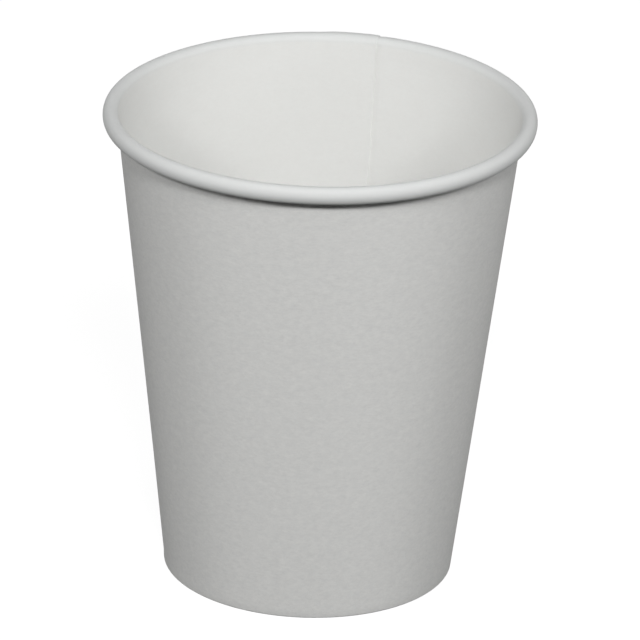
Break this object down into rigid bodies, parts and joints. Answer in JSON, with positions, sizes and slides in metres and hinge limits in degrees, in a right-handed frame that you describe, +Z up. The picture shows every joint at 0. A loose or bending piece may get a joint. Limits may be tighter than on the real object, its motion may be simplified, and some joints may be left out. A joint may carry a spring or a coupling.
{
  "type": "paper coffee cup",
  "caption": "Tapered single wall paper hot cup with a rolled rim, a lapped side seam and a recessed base held in a folded hem.",
  "frame": {"origin": "centre of the ring the cup stands on, in the plane it rests on", "axes": "+Z up along the cup axis, -Y towards the viewer of the picture, side lap at the back and a little towards +X"},
  "size_m": [0.08, 0.08, 0.091],
  "materials": {
    "sidewall_board": "matte uncoated white board outside, thin smooth lining inside",
    "base_board": "matte white board, thin smooth lining on the upper face"
  },
  "bodies": {
    "root": {"sidewall": "sidewall_board", "base_disc": "base_board"}
  },
  "joints": []
}
